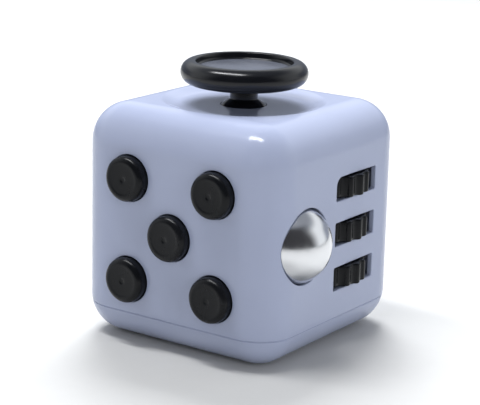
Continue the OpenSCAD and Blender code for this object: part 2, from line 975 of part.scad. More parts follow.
// All screws inside the case, with their shanks in the bosses
module assembly_screws()
    color(steel) {
        at_carrier_screws()
            assembly_screw();
        at_bracket_screws()
            assembly_screw();
        at_ball_screws()
            assembly_screw();
        at_rocker_screws()
            assembly_screw();
        at_joystick_screws()
            assembly_screw();
    }

main_shell();
bottom_cover();
button(0);  // button_upper_left
button(1);  // button_upper_right
button(2);  // button_centre
button(3);  // button_lower_left
button(4);  // button_lower_right
snap_dome(0);  // snap_dome_upper_left
snap_dome(2);  // snap_dome_centre
snap_dome(4);  // snap_dome_lower_right
silicone_pad(1);  // silicone_pad_upper_right
silicone_pad(3);  // silicone_pad_lower_left
button_carrier();
wheel(0);  // wheel_upper
wheel(1);  // wheel_middle
wheel(2);  // wheel_lower
wheel_axle();
wheel_bracket();
steel_ball();
ball_seat();
ball_spring();
ball_retainer();
joystick_cap();
joystick_stem();
joystick_pin();
gimbal_ring();
joystick_base();
joystick_spring();
rocker();
rocker_pin();
rocker_plunger();
rocker_spring();
rocker_bracket();
dial();
dial_washer();
dial_screw();
dial_click_ball();
dial_click_spring();
assembly_screws();
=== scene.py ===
"""Fidget cube: detailed pieces, finishes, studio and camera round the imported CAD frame."""

import itertools
import math

import bmesh
import bpy
from mathutils import Matrix, Vector


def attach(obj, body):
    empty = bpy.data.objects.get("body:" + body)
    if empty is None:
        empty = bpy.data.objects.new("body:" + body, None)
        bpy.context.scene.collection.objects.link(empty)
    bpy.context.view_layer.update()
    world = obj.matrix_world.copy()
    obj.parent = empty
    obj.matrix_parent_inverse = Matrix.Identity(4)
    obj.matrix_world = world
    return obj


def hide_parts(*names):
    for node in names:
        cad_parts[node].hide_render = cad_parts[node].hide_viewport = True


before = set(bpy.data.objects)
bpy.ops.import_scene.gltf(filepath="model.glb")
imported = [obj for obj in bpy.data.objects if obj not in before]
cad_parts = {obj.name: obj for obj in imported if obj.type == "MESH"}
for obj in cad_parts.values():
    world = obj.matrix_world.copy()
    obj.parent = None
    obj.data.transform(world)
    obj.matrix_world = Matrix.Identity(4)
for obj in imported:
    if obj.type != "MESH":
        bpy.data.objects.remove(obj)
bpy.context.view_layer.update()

# ---------------------------------------------------------------- sizes, in millimetres
MM = 0.001
HALF = 16.5  # half the cube's edge
EDGE = 5.5  # radius of the rounded outer edges
FLAT = HALF - EDGE  # half the flat middle of a face
WALL = 1.8
INNER = HALF - WALL
SEAM = 4.5  # height of the joint line above the bottom face
LIP = 0.16  # rounding at the mouths of the openings
LIP_END = math.radians(76)
LIP_STEPS = 5
FLARE = 0.6  # how far a mouth's cutter widens above its lip
OVERLAP = 0.1  # how far solids that are joined run into each other
CLEAR = 2.0  # how far a cutter runs past the case
RIGHT, BACK, LEFT = 90, 180, 270
PITCH = 7.15  # distance of the corner buttons from the middle of their face, each way
BUTTONS = {
    "upper_left": (-PITCH, PITCH),
    "upper_right": (PITCH, PITCH),
    "centre": (0.0, 0.0),
    "lower_left": (-PITCH, -PITCH),
    "lower_right": (PITCH, -PITCH),
}
BUTTON_HOLE_R = 3.25
BALL = (-8.2, 0.0, -2.45)  # on the right face: sideways, up, out
BALL_R = 5.5
WHEELS = {"upper": 6.35, "middle": 0.0, "lower": -6.35}
WHEEL = (3.9, -4.55)  # axis on the right face: sideways, out


def on_face(turn):
    """Frame of a side face: X to the right, Y up, Z out. 0 front, 90 right, 180 back, 270 left."""
    lift = Matrix.Translation((0, 0, HALF))
    return lift @ Matrix.Rotation(math.radians(turn), 4, "Z") @ Matrix.Rotation(math.pi / 2, 4, "X") @ lift


def at(x=0.0, y=0.0, z=0.0):
    return Matrix.Translation((x, y, z))


# ---------------------------------------------------------------- mesh tools
def circle(r, n=96, x=0.0, y=0.0):
    angles = [2 * math.pi * k / n for k in range(n)]
    return [(x + r * math.cos(a), y + r * math.sin(a)) for a in angles]


def rounded_rect(x0, x1, y0, y1, radii, grow=0.0, steps=7):
    """Outline, counter-clockwise from the lower right corner; radii in the same order."""
    corners = [(x1, y0, 1, -1, -90), (x1, y1, 1, 1, 0), (x0, y1, -1, 1, 90), (x0, y0, -1, -1, 180)]
    out = []
    for (x, y, sx, sy, start), r in zip(corners, radii):
        for k in range(steps + 1):
            a = math.radians(start + 90 * k / steps)
            out.append((x - sx * r + (r + grow) * math.cos(a), y - sy * r + (r + grow) * math.sin(a)))
    return out


def arc(x, y, r, start, end, steps=8):
    """Points of an arc from start to end degrees."""
    angles = [math.radians(start + (end - start) * k / steps) for k in range(steps + 1)]
    return [(x + r * math.cos(a), y + r * math.sin(a)) for a in angles]


def loft(rings, closed=False):
    """Skin over rings of equal length, capped at both ends or closed into a ring of rings."""
    bm = bmesh.new()
    rows = [[bm.verts.new(p) for p in ring] for ring in rings]
    pairs = list(zip(rows, rows[1:])) + ([(rows[-1], rows[0])] if closed else [])
    n = len(rows[0])
    for low, high in pairs:
        for i in range(n):
            j = (i + 1) % n
            bm.faces.new((low[i], low[j], high[j], high[i]))
    if not closed:
        bm.faces.new(rows[0][::-1])
        bm.faces.new(rows[-1])
    return bm


def stack(levels):
    """Loft of flat outlines: levels are (outline, height)."""
    return loft([[(x, y, h) for x, y in outline] for outline, h in levels])


def lathe(profile, n=96):
    """Solid of revolution round Z. The profile runs from the axis, up and back to the axis."""
    bm = bmesh.new()
    rows = []
    for r, h in profile:
        if r < 1e-6:
            rows.append([bm.verts.new((0, 0, h))])
        else:
            rows.append([bm.verts.new((x, y, h)) for x, y in circle(r, n)])
    for low, high in zip(rows, rows[1:]):
        for i in range(n):
            j = (i + 1) % n
            if len(low) == 1:
                bm.faces.new((low[0], high[j], high[i]))
            elif len(high) == 1:
                bm.faces.new((low[i], low[j], high[0]))
            else:
                bm.faces.new((low[i], low[j], high[j], high[i]))
    return bm


def rounded_cube(half, r, steps):
    """Cube with round edges and corners, as a grid that follows the roundings. With r = half it is a
    sphere without poles."""
    flat = half - r
    line = [-(flat + r * math.tan(math.pi / 4 * k / steps)) for k in range(steps, 0, -1)]
    line += [-flat, flat] if flat > 0 else [0.0]
    line += [-v for v in reversed(line[:steps])]
    bm = bmesh.new()
    made = {}

    def vert(p):
        core = Vector([max(-flat, min(flat, v)) for v in p])
        q = core + (Vector(p) - core).normalized() * r
        key = tuple(round(v, 5) for v in q)
        if key not in made:
            made[key] = bm.verts.new(q)
        return made[key]

    for axis in range(3):
        for side in (-1, 1):
            for a0, a1 in zip(line, line[1:]):
                for b0, b1 in zip(line, line[1:]):
                    quad = []
                    for a, b in ((a0, b0), (a1, b0), (a1, b1), (a0, b1)):
                        p = [0.0, 0.0, 0.0]
                        p[axis] = side * half
                        p[(axis + 1) % 3] = a
                        p[(axis + 2) % 3] = b
                        quad.append(vert(p))
                    bm.faces.new(quad if side > 0 else quad[::-1])
    return bm


def hull(points):
    bm = bmesh.new()
    for p in points:
        bm.verts.new(p)
    bmesh.ops.convex_hull(bm, input=bm.verts)
    return bm


def box(x0, x1, y0, y1, z0, z1):
    return stack([([(x0, y0), (x1, y0), (x1, y1), (x0, y1)], z) for z in (z0, z1)])


def rod(r, z0, z1, n=64):
    return stack([(circle(r, n), z0), (circle(r, n), z1)])


def solid(bm, place=None):
    """A working object, in millimetres."""
    if place is not None:
        bm.transform(place)
    bmesh.ops.recalc_face_normals(bm, faces=bm.faces)
    mesh = bpy.data.meshes.new("work")
    bm.to_mesh(mesh)
    bm.free()
    obj = bpy.data.objects.new("work", mesh)
    bpy.context.scene.collection.objects.link(obj)
    return obj


def applied(obj):
    """The object with its modifiers built into its mesh."""
    bpy.context.view_layer.update()
    made = bpy.data.meshes.new_from_object(obj.evaluated_get(bpy.context.evaluated_depsgraph_get()))
    old = obj.data
    obj.modifiers.clear()
    obj.data = made
    bpy.data.meshes.remove(old)
    return obj


def combine(obj, others, operation):
    """Boolean of obj with each of the others, which are used up."""
    group = bpy.data.collections.new("cutters")
    bpy.context.scene.collection.children.link(group)
    for o in others:
        bpy.context.scene.collection.objects.unlink(o)
        group.objects.link(o)
    mod = obj.modifiers.new("combine", "BOOLEAN")
    mod.operation = operation
    mod.operand_type = "COLLECTION"
    mod.collection = group
    mod.solver = "EXACT"
    applied(obj)
    for o in others:
        bpy.data.objects.remove(o)
    bpy.data.collections.remove(group)
    return obj


def bevelled(obj, width, steps=3, angle=35):
    mod = obj.modifiers.new("bevel", "BEVEL")
    mod.width = width
    mod.segments = steps
    mod.limit_method = "ANGLE"
    mod.angle_limit = math.radians(angle)
    return applied(obj)


def case_normal(p):
    """Height over the rounded cube's surface at p, and the surface's direction there."""
    c = Vector((p[0], p[1], p[2] - HALF))
    core = Vector([max(-FLAT, min(FLAT, v)) for v in c])
    away = c - core
    if away.length < 1e-6:
        return -1.0, Vector((0, 0, 1))
    return away.length - EDGE, away.normalized()


NEAR = 0.012  # height over the case's surface up to which a point counts as on it
ALONG = 0.88  # cosine of the angle up to which a face counts as facing the surface's way


def piece(obj, name, body, stands_for, finish, smooth=32, on_case=False):
    """Finishes a working object: size in metres, normals, material and body; the CAD parts it stands for are
    hidden. On the case, the corners that lie on its outer surface get that surface's own normals."""
    mesh = obj.data
    mesh.polygons.foreach_set("use_smooth", [True] * len(mesh.polygons))
    mesh.set_sharp_from_angle(angle=math.radians(smooth))
    if on_case:
        normals = [Vector(n.vector) for n in mesh.corner_normals]
        for poly in mesh.polygons:
            for loop in poly.loop_indices:
                height, up = case_normal(mesh.vertices[mesh.loops[loop].vertex_index].co)
                if abs(height) < NEAR and up.dot(poly.normal) > ALONG:
                    normals[loop] = up
        mesh.normals_split_custom_set(normals)
    mesh.transform(Matrix.Scale(MM, 4))
    obj.name = name
    mesh.name = name
    mesh.materials.clear()
    mesh.materials.append(finish)
    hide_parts(*stands_for)
    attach(obj, body)
    return obj


# ---------------------------------------------------------------- finishes
TINT_SCALE, WEAR_SCALE = 90, 420  # patches of colour and of wear, per metre
WEAR_STRETCH = (1, 1, 0.35)


def node(tree, kind, **values):
    made = tree.nodes.new(kind)
    for key, value in values.items():
        setattr(made, key, value)
    return made


def noise(tree, scale, detail=3.0, stretch=(1, 1, 1)):
    """Noise in the piece's own space; scale is in bumps per metre."""
    coords = node(tree, "ShaderNodeTexCoord")
    mapping = node(tree, "ShaderNodeMapping")
    mapping.inputs["Scale"].default_value = stretch
    tree.links.new(coords.outputs["Object"], mapping.inputs["Vector"])
    made = node(tree, "ShaderNodeTexNoise")
    made.inputs["Scale"].default_value = scale
    made.inputs["Detail"].default_value = detail
    tree.links.new(mapping.outputs["Vector"], made.inputs["Vector"])
    return made.outputs["Fac"]


def ranged(tree, source, low, high, start=0.3, end=0.7):
    """Source remapped from start..end to low..high."""
    made = node(tree, "ShaderNodeMapRange")
    made.inputs["From Min"].default_value = start
    made.inputs["From Max"].default_value = end
    made.inputs["To Min"].default_value = low
    made.inputs["To Max"].default_value = high
    tree.links.new(source, made.inputs["Value"])
    return made.outputs["Result"]


def blended(tree, factor, low, high):
    """Mix of two colours; either may be another node's output."""
    made = node(tree, "ShaderNodeMix", data_type="RGBA")
    for key, colour in (("A", low), ("B", high)):
        if isinstance(colour, bpy.types.NodeSocket):
            tree.links.new(colour, made.inputs[key])
        else:
            made.inputs[key].default_value = (*colour, 1)
    tree.links.new(factor, made.inputs["Factor"])
    return made.outputs["Result"]


def product(tree, a, b):
    made = node(tree, "ShaderNodeMath", operation="MULTIPLY")
    tree.links.new(a, made.inputs[0])
    tree.links.new(b, made.inputs[1])
    return made.outputs["Value"]


def bumps(tree, sources):
    """Chain of bump nodes; each source is (height, depth in metres, strength)."""
    last = None
    for height, depth, strength in sources:
        made = node(tree, "ShaderNodeBump")
        made.inputs["Strength"].default_value = strength
        made.inputs["Distance"].default_value = depth
        tree.links.new(height, made.inputs["Height"])
        if last is not None:
            tree.links.new(last, made.inputs["Normal"])
        last = made.outputs["Normal"]
    return last


def finish(name, light, dark, rough, grain, **sockets):
    """Principled material: colour varies between two tones, roughness between two values, and
    grain lists the bumps as (scale per metre, stretch, depth, strength)."""
    material = bpy.data.materials.new(name)
    material.use_nodes = True
    tree = material.node_tree
    shader = tree.nodes["Principled BSDF"]
    tint = blended(tree, ranged(tree, noise(tree, TINT_SCALE, 4), 0, 1), dark, light)
    tree.links.new(tint, shader.inputs["Base Color"])
    wear = ranged(tree, noise(tree, WEAR_SCALE, 6, WEAR_STRETCH), *rough)
    tree.links.new(wear, shader.inputs["Roughness"])
    normal = bumps(tree, [(noise(tree, s, 3, stretch), depth, power) for s, stretch, depth, power in grain])
    tree.links.new(normal, shader.inputs["Normal"])
    for key, value in sockets.items():
        shader.inputs[key.replace("_", " ")].default_value = value
    return material


PAD_REACH, PAD_FADE = 6.1, 0.5  # radius of the floor's painted sheen, and the width over which it fades
PAD_FROM = (36.9, 37.1)  # heights between which the painted sheen begins
PAD_SHEEN_TONE = (0.1, 0.108, 0.134)
PAD_SCALE = 240  # patches of the painted sheen, per metre


def painted_sheen_pad(material):
    """Paler floor inside the rim of the thumb disc: a painted sheen that stands in for the grazing reflection
    of bright surroundings on the same black plastic.
    """
    tree = material.node_tree
    shader = tree.nodes["Principled BSDF"]
    coords = node(tree, "ShaderNodeTexCoord")
    flat = node(tree, "ShaderNodeVectorMath", operation="MULTIPLY")
    flat.inputs[1].default_value = (1, 1, 0)
    reach = node(tree, "ShaderNodeVectorMath", operation="LENGTH")
    split = node(tree, "ShaderNodeSeparateXYZ")
    tree.links.new(coords.outputs["Object"], flat.inputs[0])
    tree.links.new(flat.outputs["Vector"], reach.inputs[0])
    tree.links.new(coords.outputs["Object"], split.inputs["Vector"])
    inside = ranged(tree, reach.outputs["Value"], 1, 0, PAD_REACH * MM, (PAD_REACH + PAD_FADE) * MM)
    above = ranged(tree, split.outputs["Z"], 0, 1, *[height * MM for height in PAD_FROM])
    patchy = ranged(tree, noise(tree, PAD_SCALE, 4), 0.8, 1)
    mask = product(tree, product(tree, inside, above), patchy)
    under = shader.inputs["Base Color"].links[0].from_socket
    # painted sheen: pale blue-grey laid over the floor's black, in place of its reflection
    painted_sheen = blended(tree, mask, under, PAD_SHEEN_TONE)
    tree.links.new(painted_sheen, shader.inputs["Base Color"])
    return material


EVEN = (1, 1, 1)
case_plastic = finish(
    "case_plastic", (0.345, 0.382, 0.515), (0.33, 0.366, 0.495), (0.12, 0.18),
    [(260, EVEN, 0.00002, 0.35), (3200, EVEN, 0.000002, 0.25)],
    IOR=1.46, Specular_IOR_Level=0.4,
)
black_satin = finish(
    "black_satin", (0.0055, 0.006, 0.0075), (0.0035, 0.004, 0.005), (0.2, 0.3),
    [(2600, EVEN, 0.000006, 0.5), (600, EVEN, 0.00001, 0.3)],
    IOR=1.48, Specular_IOR_Level=0.2,
)
black_gloss = finish(
    "black_gloss", (0.005, 0.0055, 0.0075), (0.003, 0.0035, 0.005), (0.15, 0.23),
    [(3800, EVEN, 0.000002, 0.2), (300, EVEN, 0.000004, 0.2)],
    IOR=1.5, Specular_IOR_Level=0.4,
)
# black of the thumb disc, with a painted sheen on the floor of its recess
thumb_black = painted_sheen_pad(finish(
    "thumb_black", (0.005, 0.0055, 0.0075), (0.003, 0.0035, 0.005), (0.17, 0.25),
    [(3800, EVEN, 0.000002, 0.2), (300, EVEN, 0.000004, 0.2)],
    IOR=1.5, Specular_IOR_Level=0.4,
))
grey_plastic = finish(
    "grey_plastic", (0.19, 0.2, 0.21), (0.15, 0.158, 0.168), (0.42, 0.55),
    [(4200, EVEN, 0.000012, 0.6), (500, EVEN, 0.00002, 0.3)],
)
polished_steel = finish(
    "polished_steel", (0.8, 0.81, 0.83), (0.7, 0.71, 0.73), (0.12, 0.24),
    [(1500, (1, 1, 0.06), 0.0000025, 0.35), (700, EVEN, 0.000012, 0.5)],
    Metallic=1.0,
)
plain_steel = finish(
    "plain_steel", (0.62, 0.62, 0.63), (0.5, 0.5, 0.51), (0.25, 0.4),
    [(2500, (1, 1, 8), 0.00001, 0.5)],
    Metallic=1.0,
)
spring_steel = finish(
    "spring_steel", (0.56, 0.56, 0.57), (0.46, 0.46, 0.47), (0.22, 0.34),
    [(6000, (4, 4, 1), 0.000006, 0.4)],
    Metallic=1.0,
)
silicone = finish(
    "silicone", (0.74, 0.73, 0.69), (0.68, 0.67, 0.63), (0.5, 0.6),
    [(3000, EVEN, 0.00001, 0.4)],
    IOR=1.41,
)

# ---------------------------------------------------------------- case
def mouth(outline, depth, lip=LIP, surface=None):
    """Cutter of an opening: straight wall, rounded lip at the face, flare above it. outline(grow) gives
    the opening's edge, and surface(x) how far the outer surface lies from the face plane."""
    sink = lip * (1 - math.sin(LIP_END))
    levels = [(0.0, -depth)]
    for k in range(LIP_STEPS + 1):
        a = LIP_END * k / LIP_STEPS
        levels.append((lip * (1 - math.cos(a)), lip * (math.sin(a) - 1) + sink))
    grow, height = levels[-1]
    levels.append((grow + FLARE * math.sin(LIP_END), height + FLARE * math.cos(LIP_END)))
    rings = []
    for grow, height in levels:
        fade = max(0.0, min(1.0, 1 + height / depth))
        rings.append([(x, y, height + (surface(x) * fade if surface else 0.0)) for x, y in outline(grow)])
    rings.append([(x, y, CLEAR) for x, y, _ in rings[-1]])
    return loft(rings)


def round_mouth(x, y, r, depth, lip=LIP, surface=None):
    return mouth(lambda grow: circle(r + grow, x=x, y=y), depth, lip, surface)


def rounding(x):
    """How far the case's surface drops under a face's plane at a distance x from its middle line."""
    over = abs(x) - FLAT
    return math.sqrt(max(0.0, EDGE**2 - over**2)) - EDGE if over > 0 else 0.0


def thumb_hollow(r, depth):
    """Shallow spherical hollow below z = 0, reaching a little above it."""
    ball = (r * r + depth * depth) / (2 * depth)
    edge = math.degrees(math.asin(r / ball))
    profile = arc(0, ball - depth, ball, -90, -90 + edge * 1.06, 24)
    rim, top = profile[-1][0], profile[-1][1] + 1.5
    return lathe([(0.0, -depth), *profile[1:], (rim, top), (0.0, top)])


def cavity():
    """The hollow inside: a cube with its edges and corners cut off."""
    c = 2.2
    points = []
    for sx, sy, sz in itertools.product((-1, 1), repeat=3):
        for a, b, d in ((0, c, c), (c, 0, c), (c, c, 0), (c / 2, c / 2, c / 2)):
            points.append((sx * (INNER - a), sy * (INNER - b), HALF + sz * (INNER - d)))
    return hull(points)


def four_places(reach):
    return [(x * reach, y * reach) for x in (-1, 1) for y in (-1, 1)]


BOSS_R, PILOT_R, PEG_R = 1.6, 0.65, 0.8
SCREWS = [  # face, places, depth of the boss, depths from which and to which the pilot bore runs
    (0, [(0, 8.58), (0, -8.58), (-8.58, 0)], 4.4, 5.6, 2.3),
    (RIGHT, [(BALL[0] + 1.2, -8.1), (BALL[0] + 1.2, 8.1)], 6.1, 7.3, 3.7),
    (RIGHT, [(12.6, -6.2), (12.6, 6.2)], 4.1, 5.2, 2.0),
    (BACK, [(-6.9, 0), (6.9, 0)], 4.3, 5.5, 2.2),
]
TOP_SCREWS = four_places(7)
TOP_BOSS = 28.2  # height at which the bosses of the joystick's housing begin
CORNER_POSTS = four_places(INNER - 2)
SLEEVE_BACK = -6.1
SLEEVE_R = BALL_R + 1.1
BALL_GAP = 0.1
WINDOW = (-1.1, 8.9, 1.65)  # ends of a wheel's window along the face, and half its width
WINDOW_EDGE = 0.7  # thickness left round the windows, behind which the wall is cut back
WHEEL_CHAMBER_R = 5.9
ROCKER_HOLE = (3.35, 6.5)  # half its width and half its length
DIAL_SEAT = (7.7, 0.9)  # radius and depth
DIAL_SHAFT_R = 2.56
DIAL_BOSS = (4.4, 1.5)  # radius and height over the inner wall
CLICK = (5.6, 1.1)  # height of the dial's click spring on its face, and radius of its bore
CLICK_BOSS = (2.1, 3.5)
SOCKET_R = 4.65  # round socket of the joystick's knuckle
PIVOT = 29.0  # height of the joystick's pivot


def case_lumps():
    """Bosses, the ball's sleeve and the posts inside the case."""
    right, left = on_face(RIGHT), on_face(LEFT)
    top = OVERLAP - WALL
    made = [solid(rod(SLEEVE_R, SLEEVE_BACK, top, 96), right @ at(BALL[0]))]
    for turn, places, depth, _, _ in SCREWS:
        made += [solid(rod(BOSS_R, -depth, top), on_face(turn) @ at(x, y)) for x, y in places]
    for (r, high), up in ((DIAL_BOSS, 0), (CLICK_BOSS, CLICK[0])):
        made.append(solid(rod(r, -WALL - high, top), left @ at(0, up)))
    made += [solid(rod(BOSS_R, TOP_BOSS, 2 * HALF + top), at(x, y)) for x, y in TOP_SCREWS]
    made += [solid(rod(BOSS_R, SEAM - 0.5, SEAM + 3.5), at(x, y)) for x, y in CORNER_POSTS]
    return made


TOP_PAN = [  # half section of the shallow recess in the top, with soft edges
    (0.0, -0.7), (9.0, -0.7), (9.4, -0.66), (9.9, -0.55), (10.9, -0.19), (11.3, -0.06), (11.8, 0.03),
    (12.5, 0.4), (12.5, CLEAR), (0.0, CLEAR),
]


def wheel_place(up):
    """Frame of a wheel: its axis is Z."""
    return on_face(RIGHT) @ at(WHEEL[0], up, WHEEL[1]) @ Matrix.Rotation(math.pi / 2, 4, "X")


def wheel_cuts(name, up):
    """Window of one wheel, the relief behind its edge and the round chamber that the wheel turns in."""
    start, end, half = WINDOW
    radii = [0.25, 0.25, 1.2 if name == "upper" else 0.25, 0.25]
    window = mouth(lambda grow: rounded_rect(start, end, up - half, up + half, radii, grow), WALL + 1)
    relief = box(start - 1, end + 1.2, up - half - 0.1, up + half + 0.1, -WALL - 0.4, -WINDOW_EDGE)
    chamber = rod(WHEEL_CHAMBER_R, -1.64, 1.64, 96)
    return [solid(window, on_face(RIGHT)), solid(relief, on_face(RIGHT)), solid(chamber, wheel_place(up))]


def case_cuts():
    """Everything bored or cut out of the case."""
    front, right, back, left = (on_face(t) for t in (0, RIGHT, BACK, LEFT))
    made = [solid(round_mouth(x, y, BUTTON_HOLE_R, WALL + 1), front) for x, y in BUTTONS.values()]
    ball_r = BALL_R + BALL_GAP
    made.append(solid(round_mouth(BALL[0], 0, BALL_R - 0.25, -BALL[2], 0.12, rounding), right))
    made.append(solid(rounded_cube(ball_r, ball_r, 12), right @ at(*BALL)))
    made.append(solid(rod(ball_r, SLEEVE_BACK - 1, BALL[2], 96), right @ at(BALL[0])))
    for name, up in WHEELS.items():
        made += wheel_cuts(name, up)
    w, h = ROCKER_HOLE
    made.append(solid(mouth(lambda grow: rounded_rect(-w, w, -h, h, [0.3] * 4, grow), WALL + 1), back))
    made.append(solid(round_mouth(0, 0, *DIAL_SEAT), left))
    made.append(solid(rod(DIAL_SHAFT_R, -WALL - 2.5, 0.5), left))
    made.append(solid(rod(CLICK[1], -WALL - 2.8, 0.5), left @ at(0, CLICK[0])))
    made.append(solid(lathe(TOP_PAN, 144), at(0, 0, 2 * HALF)))
    made.append(solid(rounded_cube(SOCKET_R, SOCKET_R, 10), at(0, 0, PIVOT)))
    made += [solid(rod(PEG_R, SEAM - 1, SEAM + 3.2, 32), at(x, y)) for x, y in CORNER_POSTS]
    for turn, places, _, start, end in SCREWS:
        made += [solid(rod(PILOT_R, -start, -end, 32), on_face(turn) @ at(x, y)) for x, y in places]
    made += [solid(rod(PILOT_R, TOP_BOSS - 1.2, TOP_BOSS + 2.4, 32), at(x, y)) for x, y in TOP_SCREWS]
    return made


def seam_groove():
    """Fine V round the case where its cover meets it."""
    size, out = 0.11, 0.3
    round_r = math.sqrt(EDGE**2 - (EDGE - SEAM) ** 2)
    reach = FLAT + round_r
    rings = []
    for grow, up in ((-size, 0), (out, -size - out), (out, size + out)):
        outline = rounded_rect(-reach, reach, -reach, reach, [round_r] * 4, grow, 12)
        rings.append([(x, y, SEAM + up) for x, y in outline])
    return loft(rings, closed=True)


def slab(low, high):
    """Everything of the case between two heights."""
    side = HALF + CLEAR
    return solid(box(-side, side, -side, side, low, high))


def case_body():
    body = solid(rounded_cube(HALF, EDGE, 9), at(0, 0, HALF))
    return combine(body, [solid(cavity())], "DIFFERENCE")


shell = combine(case_body(), [slab(-CLEAR, SEAM)], "DIFFERENCE")
combine(shell, case_lumps(), "UNION")
combine(shell, [*case_cuts(), slab(-CLEAR, SEAM), solid(seam_groove())], "DIFFERENCE")
piece(shell, "case_shell", "case", ["main_shell"], case_plastic, on_case=True)

DISH_R, DISH_DEPTH = 9, 2
RIB = (6, 0.9)  # half the length of a locating rib, and how far it reaches in from the wall


def cover_lumps():
    """Backing of the thumb dish, corner posts with their pegs, and the locating ribs."""
    made = [solid(rod(DISH_R + 0.6, 0.5, DISH_DEPTH + WALL, 96))]
    for x, y in CORNER_POSTS:
        made.append(solid(rod(BOSS_R, WALL - OVERLAP, SEAM), at(x, y)))
        made.append(solid(rod(PEG_R, WALL, SEAM + 3, 32), at(x, y)))
    half, depth = RIB
    for turn in range(4):
        side = Matrix.Rotation(turn * math.pi / 2, 4, "Z")
        made.append(solid(box(-half, half, INNER - depth, INNER - 0.05, WALL - OVERLAP, SEAM + 1), side))
        made.append(solid(box(-half, half, INNER - depth, INNER + OVERLAP, WALL - OVERLAP, SEAM), side))
    return made


cover = combine(case_body(), [slab(SEAM, 2 * HALF + CLEAR)], "DIFFERENCE")
combine(cover, cover_lumps(), "UNION")
flip = Matrix.Rotation(math.pi, 4, "X")
combine(cover, [solid(thumb_hollow(DISH_R, DISH_DEPTH), flip), solid(seam_groove())], "DIFFERENCE")
piece(cover, "case_cover", "case", ["bottom_cover"], case_plastic, on_case=True)

# ---------------------------------------------------------------- buttons
BUTTON = [  # half section, from the foot of its plunger to the mark in the middle of its cap
    (0.0, -3.45), (1.15, -3.45), (1.3, -3.3), (1.3, -2.55), (3.8, -2.55), (3.9, -2.45), (3.9, -1.95),
    (3.8, -1.85), (3.15, -1.85), (3.15, 0.7), *arc(2.35, 0.7, 0.8, 8, 90, 9), (2.22, 1.49), (2.1, 1.46),
    (1.9, 1.44), (1.0, 1.415), (0.5, 1.41), (0.42, 1.395), (0.34, 1.34), (0.2, 1.325), (0.0, 1.32),
]
for name, (x, y) in BUTTONS.items():
    button = solid(lathe(BUTTON), on_face(0) @ at(x, y))
    node_name = "button_" + name
    piece(button, "cap_" + name, node_name, [node_name], black_satin, 40)

# ---------------------------------------------------------------- ball and wheels
ball = solid(rounded_cube(BALL_R, BALL_R, 14), on_face(RIGHT) @ at(*BALL))
piece(ball, "bearing_ball", "ball", ["steel_ball"], polished_steel, 60)

RIBS = 16
RIB_R, RIB_PLACE, VALLEY_R = 0.55, 5.05, 5.15


def wheel_outline(inset=0.0, level=None):
    """Ribbed outline, or a plain circle of the same number of points when a level radius is given."""
    side = math.acos((VALLEY_R**2 - RIB_PLACE**2 - RIB_R**2) / (2 * RIB_PLACE * RIB_R)) - 0.2
    first = math.atan2(RIB_R * math.sin(side), RIB_PLACE + RIB_R * math.cos(side))
    pitch = 2 * math.pi / RIBS
    rib = arc(RIB_PLACE, 0, RIB_R, -math.degrees(side), math.degrees(side))
    for share in (0.35, 0.65):
        a = first + (pitch - 2 * first) * share
        rib.append((VALLEY_R * math.cos(a), VALLEY_R * math.sin(a)))
    out = []
    for k in range(RIBS):
        for x, y in rib:
            r = math.hypot(x, y) - inset if level is None else level
            a = math.atan2(y, x) + pitch * k
            out.append((r * math.cos(a), r * math.sin(a)))
    return out


def wheel_mesh():
    """Ribbed wheel with a bore, a spacer hub on each side and soft edges."""
    bore, hub, flank = 0.82, 2.0, 4.4
    half_hub, half_rim, soft = 3.15, 1.45, 0.22
    half = [(wheel_outline(level=bore), half_hub), (wheel_outline(level=hub), half_hub)]
    half += [(wheel_outline(level=hub), half_rim), (wheel_outline(level=flank), half_rim)]
    for degrees in (90, 60, 30, 0):
        a = math.radians(degrees)
        half.append((wheel_outline(soft * (1 - math.cos(a))), half_rim - soft * (1 - math.sin(a))))
    levels = [(outline, -h) for outline, h in half] + half[::-1]
    return loft([[(x, y, h) for x, y in outline] for outline, h in levels], closed=True)


for name, up in WHEELS.items():
    wheel = solid(wheel_mesh(), wheel_place(up))
    node_name = "wheel_" + name
    piece(wheel, "thumb_" + node_name, node_name, [node_name], black_satin, 40)

# ---------------------------------------------------------------- joystick
DISC = (36.85, 8.9, 1.6)  # height of the middle plane, radius, half the thickness
KNUCKLE = 4.55
STEM_R = 1.95
STEM_TOP = 36.9
FILLET = 0.3  # round corner between stem and knuckle


def disc_mesh():
    """Round-rimmed disc with a sunken floor above and a collar round the stem below."""
    z, r, h = DISC
    rim = r - h
    lip, floor = 0.35, h - 0.95
    lip_a = 104.0
    lip_x = rim + h * math.cos(math.radians(lip_a))
    lip_y = h * math.sin(math.radians(lip_a))
    profile = [(0.0, -1.9), (2.75, -1.9), *arc(2.75, -1.75, 0.15, -90, 0, 3)]
    profile += [*arc(3.1, -1.5, 0.2, 180, 90, 3), (4.6, -1.3), (5.6, -1.3), (6.2, -1.34)]
    profile += arc(rim, 0, h, -112, lip_a, 40)
    profile += [(lip_x - 0.08, lip_y - 0.06), (lip_x - 0.13, lip_y - 0.2)]
    profile += arc(lip_x - 0.15 - lip, floor + lip, lip, 0, -90, 6)
    profile += [(5.2, floor), (3.0, floor), (0.0, floor)]
    return lathe([(x, y + z) for x, y in profile], 160)


def stem_mesh():
    """Foot, round knuckle and stem."""
    meet = math.degrees(math.asin((STEM_R + FILLET) / (KNUCKLE + FILLET)))
    under = math.degrees(math.asin(-1 / KNUCKLE))
    corner = (STEM_R + FILLET, PIVOT + (KNUCKLE + FILLET) * math.cos(math.radians(meet)))
    foot = [(0.0, 24.0), (2.25, 24.0), (2.4, 24.15), (2.4, 24.65), (2.25, 24.8), (1.75, 24.8)]
    neck = [(1.6, 24.95), (1.6, 28.0)]
    knuckle = [*arc(0, PIVOT, KNUCKLE, under, 90 - meet, 24), *arc(*corner, FILLET, -90 - meet, -180, 5)]
    top = [(STEM_R, STEM_TOP - 0.3), (STEM_R - 0.25, STEM_TOP), (0.0, STEM_TOP)]
    return lathe([*foot, *neck, *knuckle, *top])


